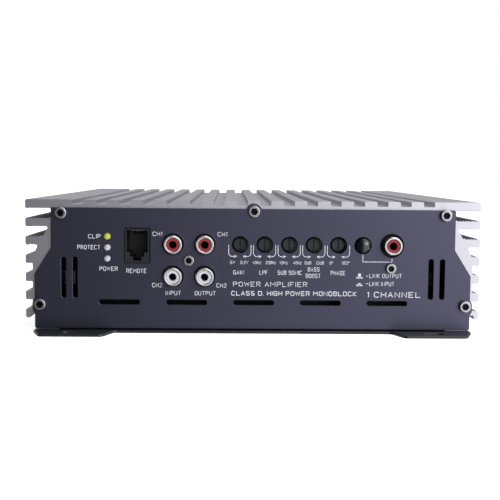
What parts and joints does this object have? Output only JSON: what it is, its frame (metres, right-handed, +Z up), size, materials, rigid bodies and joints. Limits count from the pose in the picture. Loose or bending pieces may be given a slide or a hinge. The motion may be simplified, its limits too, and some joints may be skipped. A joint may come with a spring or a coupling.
{
  "type": "car amplifier",
  "caption": "Ribbed heat-sink amplifier for a car: control panel with phono jacks, trim controls and button in front, wire terminals and fuses behind, slotted ears below.",
  "frame": {"origin": "centre of the bounding box in plan, on the surface the amplifier stands on", "axes": "+Z up; the control panel faces -Y; +X is to the right of someone facing the control panel; heat-sink ribs run along Y"},
  "size_m": [0.2084, 0.2806, 0.0605],
  "materials": {
    "sink": "satin, anodised",
    "panel_paint": "fine satin",
    "base_paint": "semi-gloss",
    "bright_screw": "polished",
    "black_screw": "black oxide",
    "sheet_plastic": "matte",
    "board": "solder mask",
    "brass": "satin",
    "black_plastic": "matte",
    "grey_plastic": "matte",
    "dark_plastic": "matte",
    "gloss_black": "glossy",
    "nickel": "plated",
    "red_plastic": "glossy",
    "white_plastic": "glossy",
    "lamp_clear": "clear resin",
    "ferrite": "matte ceramic",
    "iron_powder": "satin coat",
    "copper": "enamelled copper",
    "can_sleeve": "shrink sleeve",
    "film_box": "glossy",
    "pad_rubber": "matte",
    "bar_aluminium": "mill",
    "fuse_tint": "tinted"
  },
  "bodies": {
    "chassis": {"heat_sink": "sink", "front_panel": "panel_paint", "rear_panel": "panel_paint", "base_plate": "base_paint", "front_panel_screws": "bright_screw", "rear_panel_screws": "bright_screw", "jack_screws": "bright_screw", "base_screws": "black_screw", "insulating_sheet": "sheet_plastic", "main_board": "board", "board_standoffs": "brass", "board_screws": "bright_screw", "preamp_board": "board", "board_header": "black_plastic", "driver_board": "board", "rca_block": "black_plastic", "rca_shells": "nickel", "rca_inserts_red": "red_plastic", "rca_inserts_white": "white_plastic", "link_jack_body": "black_plastic", "link_jack_shell": "nickel", "link_jack_insert": "red_plastic", "jack_contacts": "brass", "remote_jack_body": "black_plastic", "remote_jack_contacts": "brass", "pot_bodies": "grey_plastic", "link_switch_body": "black_plastic", "clip_led": "lamp_clear", "protect_led": "lamp_clear", "power_led": "lamp_clear", "transformer_core": "ferrite", "transformer_winding": "copper", "inductor_core": "iron_powder", "inductor_winding": "copper", "supply_capacitors": "can_sleeve", "rail_capacitors": "can_sleeve", "filter_capacitors": "film_box", "transistors": "black_plastic", "thermal_pads": "pad_rubber", "clamp_bars": "bar_aluminium", "clamp_screws": "black_screw", "power_terminal_body": "black_plastic", "power_terminal_clamps": "nickel", "speaker_terminal_body": "black_plastic", "speaker_terminal_clamps": "nickel", "fuse_holder": "black_plastic"},
    "gain_control": {"gain_shaft": "dark_plastic"},
    "lowpass_control": {"lowpass_shaft": "dark_plastic"},
    "subsonic_control": {"subsonic_shaft": "dark_plastic"},
    "bass_boost_control": {"bass_boost_shaft": "dark_plastic"},
    "phase_control": {"phase_shaft": "dark_plastic"},
    "link_button": {"link_switch_button": "gloss_black"},
    "ground_screw": {"ground_set_screw": "black_screw"},
    "remote_screw": {"remote_set_screw": "black_screw"},
    "supply_screw": {"supply_set_screw": "black_screw"},
    "speaker_minus_screw": {"speaker_minus_set_screw": "black_screw"},
    "speaker_plus_screw": {"speaker_plus_set_screw": "black_screw"},
    "left_fuse": {"fuse_left": "fuse_tint"},
    "right_fuse": {"fuse_right": "fuse_tint"}
  },
  "joints": [
    {"name": "gain_turn", "type": "hinge", "parent": "chassis", "child": "gain_control", "pos_m": [-0.0064, -0.115, 0.0405], "axis": [0, 1, 0], "range_deg": [-150, 150]},
    {"name": "lowpass_turn", "type": "hinge", "parent": "chassis", "child": "lowpass_control", "pos_m": [0.00488, -0.115, 0.0405], "axis": [0, 1, 0], "range_deg": [-150, 150]},
    {"name": "subsonic_turn", "type": "hinge", "parent": "chassis", "child": "subsonic_control", "pos_m": [0.01616, -0.115, 0.0405], "axis": [0, 1, 0], "range_deg": [-150, 150]},
    {"name": "bass_boost_turn", "type": "hinge", "parent": "chassis", "child": "bass_boost_control", "pos_m": [0.02744, -0.115, 0.0405], "axis": [0, 1, 0], "range_deg": [-150, 150]},
    {"name": "phase_turn", "type": "hinge", "parent": "chassis", "child": "phase_control", "pos_m": [0.03872, -0.115, 0.0405], "axis": [0, 1, 0], "range_deg": [-150, 150]},
    {"name": "link_button_press", "type": "slide", "parent": "chassis", "child": "link_button", "axis": [0, 1, 0], "range_m": [0, 0.0022], "stiffness_N_per_m": 300, "springref_m": -0.002},
    {"name": "ground_screw_drive", "type": "slide", "parent": "chassis", "child": "ground_screw", "axis": [0, 0, -1], "range_m": [0, 0.007]},
    {"name": "remote_screw_drive", "type": "slide", "parent": "chassis", "child": "remote_screw", "axis": [0, 0, -1], "range_m": [0, 0.003]},
    {"name": "supply_screw_drive", "type": "slide", "parent": "chassis", "child": "supply_screw", "axis": [0, 0, -1], "range_m": [0, 0.007]},
    {"name": "speaker_minus_screw_drive", "type": "slide", "parent": "chassis", "child": "speaker_minus_screw", "axis": [0, 0, -1], "range_m": [0, 0.005]},
    {"name": "speaker_plus_screw_drive", "type": "slide", "parent": "chassis", "child": "speaker_plus_screw", "axis": [0, 0, -1], "range_m": [0, 0.005]},
    {"name": "left_fuse_pull", "type": "slide", "parent": "chassis", "child": "left_fuse", "axis": [0, 1, 0], "range_m": [0, 0.018]},
    {"name": "right_fuse_pull", "type": "slide", "parent": "chassis", "child": "right_fuse", "axis": [0, 1, 0], "range_m": [0, 0.018]}
  ]
}
